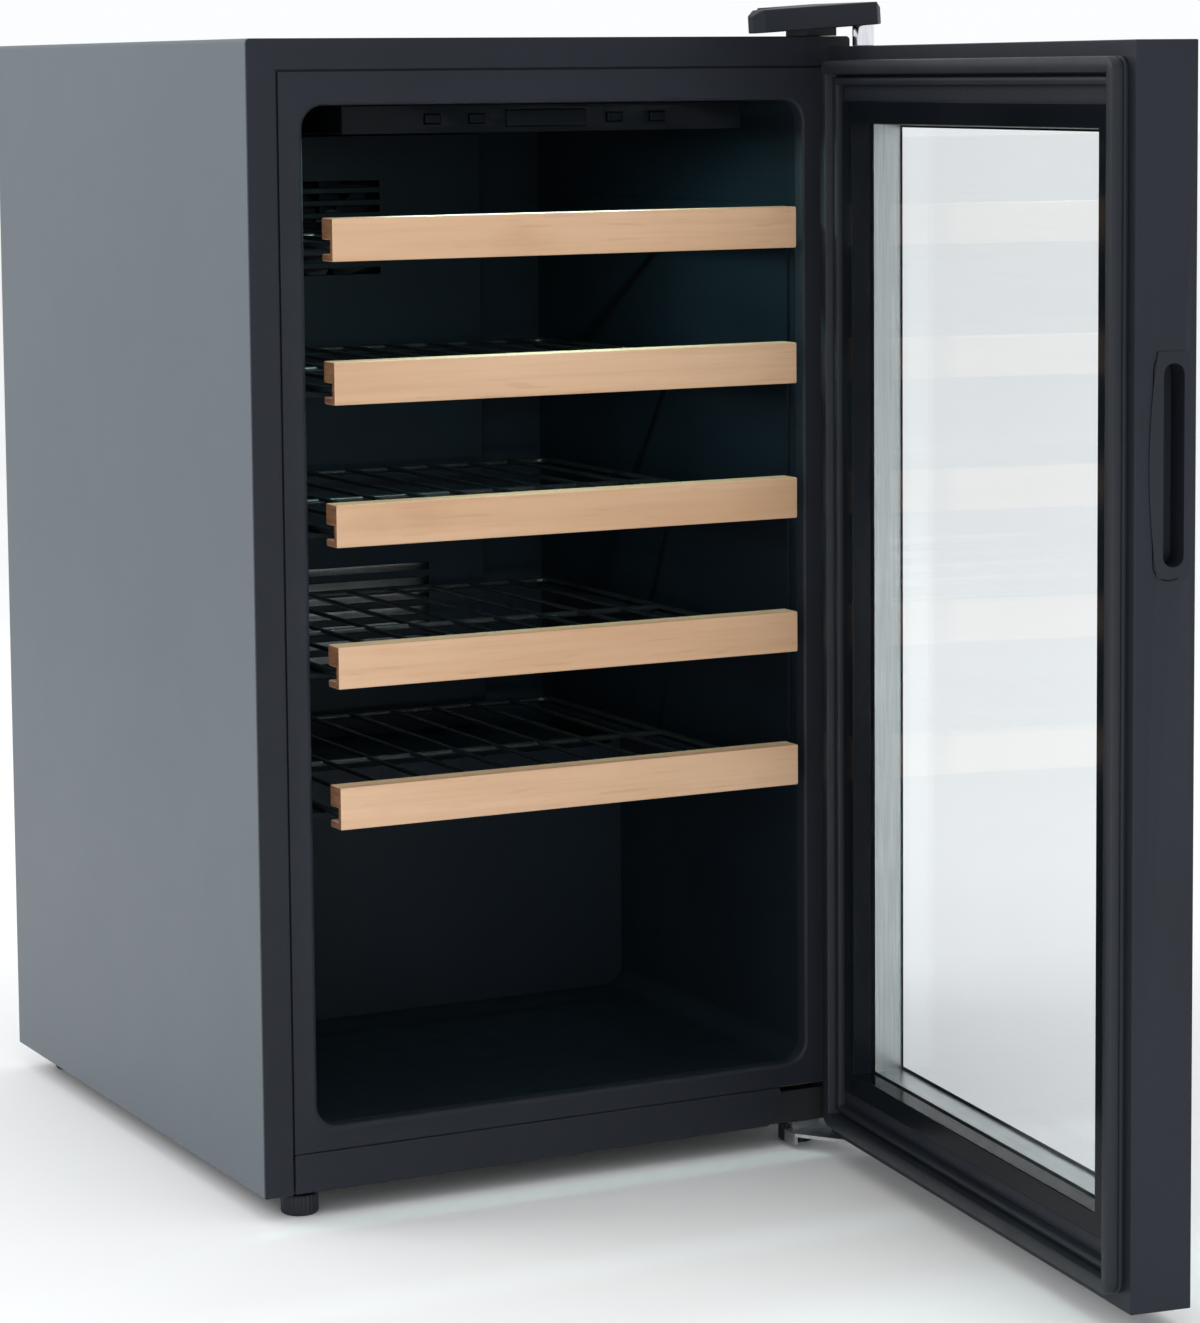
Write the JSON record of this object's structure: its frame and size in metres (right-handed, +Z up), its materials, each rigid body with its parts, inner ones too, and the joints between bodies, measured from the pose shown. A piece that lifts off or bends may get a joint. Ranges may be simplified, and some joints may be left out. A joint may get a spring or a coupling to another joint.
{
  "type": "wine cooler",
  "caption": "Free-standing wine cooler with a hinged glass door, slide-out wooden-fronted wire shelves and a lit, insulated cavity for bottles.",
  "frame": {"origin": "middle of the box around the cooler with its door open, at floor level", "axes": "+X to the right seen from the front, +Y from the front to the back, +Z up"},
  "size_m": [0.4908, 1.0346, 0.8564],
  "materials": {
    "side_paint": "satin blue-grey powder coat",
    "front_paint": "satin black paint",
    "frame_plastic": "fine-textured black",
    "liner_plastic": "smooth black",
    "foam": "rigid foam",
    "machine_paint": "satin black",
    "zinc_steel": "zinc plated",
    "chrome": "bright",
    "aluminium": "bright satin",
    "copper": "satin copper",
    "rubber": "soft black",
    "gloss_plastic": "glossy black",
    "white_plastic": "natural white",
    "clear_glass": "clear",
    "light_lens": "milky, lit from inside",
    "wire_coating": "black coated wire",
    "beech": "fine-sanded, clear varnish"
  },
  "bodies": {
    "cabinet": {"outer_wrap": "side_paint", "front_band": "front_paint", "front_frame": "frame_plastic", "kick_plate": "frame_plastic", "back_panel": "machine_paint", "base_pan": "machine_paint", "inner_liner": "liner_plastic", "insulation": "foam", "left_shelf_rails": "liner_plastic", "right_shelf_rails": "liner_plastic", "compressor": "machine_paint", "drip_tray": "white_plastic", "filter_dryer": "copper", "condenser_coil": "machine_paint", "rear_cover": "machine_paint", "cable_gland": "rubber", "evaporator_cover": "liner_plastic", "evaporator_plate": "aluminium", "fan_motor": "frame_plastic", "control_housing": "gloss_plastic", "display_window": "gloss_plastic", "led_lens": "light_lens", "hinge_cover": "frame_plastic", "top_hinge_bracket": "machine_paint", "top_hinge_screw_1": "zinc_steel", "top_hinge_screw_2": "zinc_steel", "top_hinge_pin": "chrome", "bottom_hinge_bracket": "zinc_steel", "bottom_hinge_screw_1": "zinc_steel", "bottom_hinge_screw_2": "zinc_steel", "bottom_hinge_pin": "chrome", "rear_left_foot": "rubber", "rear_right_foot": "rubber"},
    "door": {"door_frame": "frame_plastic", "outer_glass": "clear_glass", "inner_glass": "clear_glass", "glass_spacer": "aluminium", "door_trim": "gloss_plastic", "door_gasket": "rubber", "grip_insert": "frame_plastic", "top_bush": "white_plastic", "bottom_bush": "white_plastic"},
    "fan": {"fan_blades": "frame_plastic"},
    "shelf_1": {"shelf_1_strip": "beech", "shelf_1_rack": "wire_coating"},
    "shelf_2": {"shelf_2_strip": "beech", "shelf_2_rack": "wire_coating"},
    "shelf_3": {"shelf_3_strip": "beech", "shelf_3_rack": "wire_coating"},
    "shelf_4": {"shelf_4_strip": "beech", "shelf_4_rack": "wire_coating"},
    "shelf_5": {"shelf_5_strip": "beech", "shelf_5_rack": "wire_coating"},
    "power_button": {"power_button": "gloss_plastic"},
    "up_button": {"up_button": "gloss_plastic"},
    "down_button": {"down_button": "gloss_plastic"},
    "light_button": {"light_button": "gloss_plastic"},
    "front_left_foot": {"front_left_foot": "rubber"},
    "front_right_foot": {"front_right_foot": "rubber"}
  },
  "joints": [
    {"name": "door_hinge", "type": "hinge", "parent": "cabinet", "child": "door", "pos_m": [0.22472, -0.04836, 0.419], "axis": [0, 0, 1], "range_deg": [-83, 32]},
    {"name": "shelf_1_slide", "type": "slide", "parent": "cabinet", "child": "shelf_1", "axis": [0, -1, 0], "range_m": [0, 0.2]},
    {"name": "shelf_2_slide", "type": "slide", "parent": "cabinet", "child": "shelf_2", "axis": [0, -1, 0], "range_m": [0, 0.2]},
    {"name": "shelf_3_slide", "type": "slide", "parent": "cabinet", "child": "shelf_3", "axis": [0, -1, 0], "range_m": [0, 0.2]},
    {"name": "shelf_4_slide", "type": "slide", "parent": "cabinet", "child": "shelf_4", "axis": [0, -1, 0], "range_m": [0, 0.2]},
    {"name": "shelf_5_slide", "type": "slide", "parent": "cabinet", "child": "shelf_5", "axis": [0, -1, 0], "range_m": [0, 0.2]},
    {"name": "fan_spin", "type": "hinge", "parent": "cabinet", "child": "fan", "pos_m": [-0.00538, 0.40664, 0.683], "axis": [0, -1, 0], "continuous": true},
    {"name": "power_button_press", "type": "slide", "parent": "cabinet", "child": "power_button", "axis": [0, 1, 0], "range_m": [0, 0.001], "stiffness_N_per_m": 400},
    {"name": "up_button_press", "type": "slide", "parent": "cabinet", "child": "up_button", "axis": [0, 1, 0], "range_m": [0, 0.001], "stiffness_N_per_m": 400},
    {"name": "down_button_press", "type": "slide", "parent": "cabinet", "child": "down_button", "axis": [0, 1, 0], "range_m": [0, 0.001], "stiffness_N_per_m": 400},
    {"name": "light_button_press", "type": "slide", "parent": "cabinet", "child": "light_button", "axis": [0, 1, 0], "range_m": [0, 0.001], "stiffness_N_per_m": 400},
    {"name": "front_left_foot_screw", "type": "slide", "parent": "cabinet", "child": "front_left_foot", "axis": [0, 0, -1], "range_m": [0, 0.008]},
    {"name": "front_right_foot_screw", "type": "slide", "parent": "cabinet", "child": "front_right_foot", "axis": [0, 0, -1], "range_m": [0, 0.008]}
  ]
}
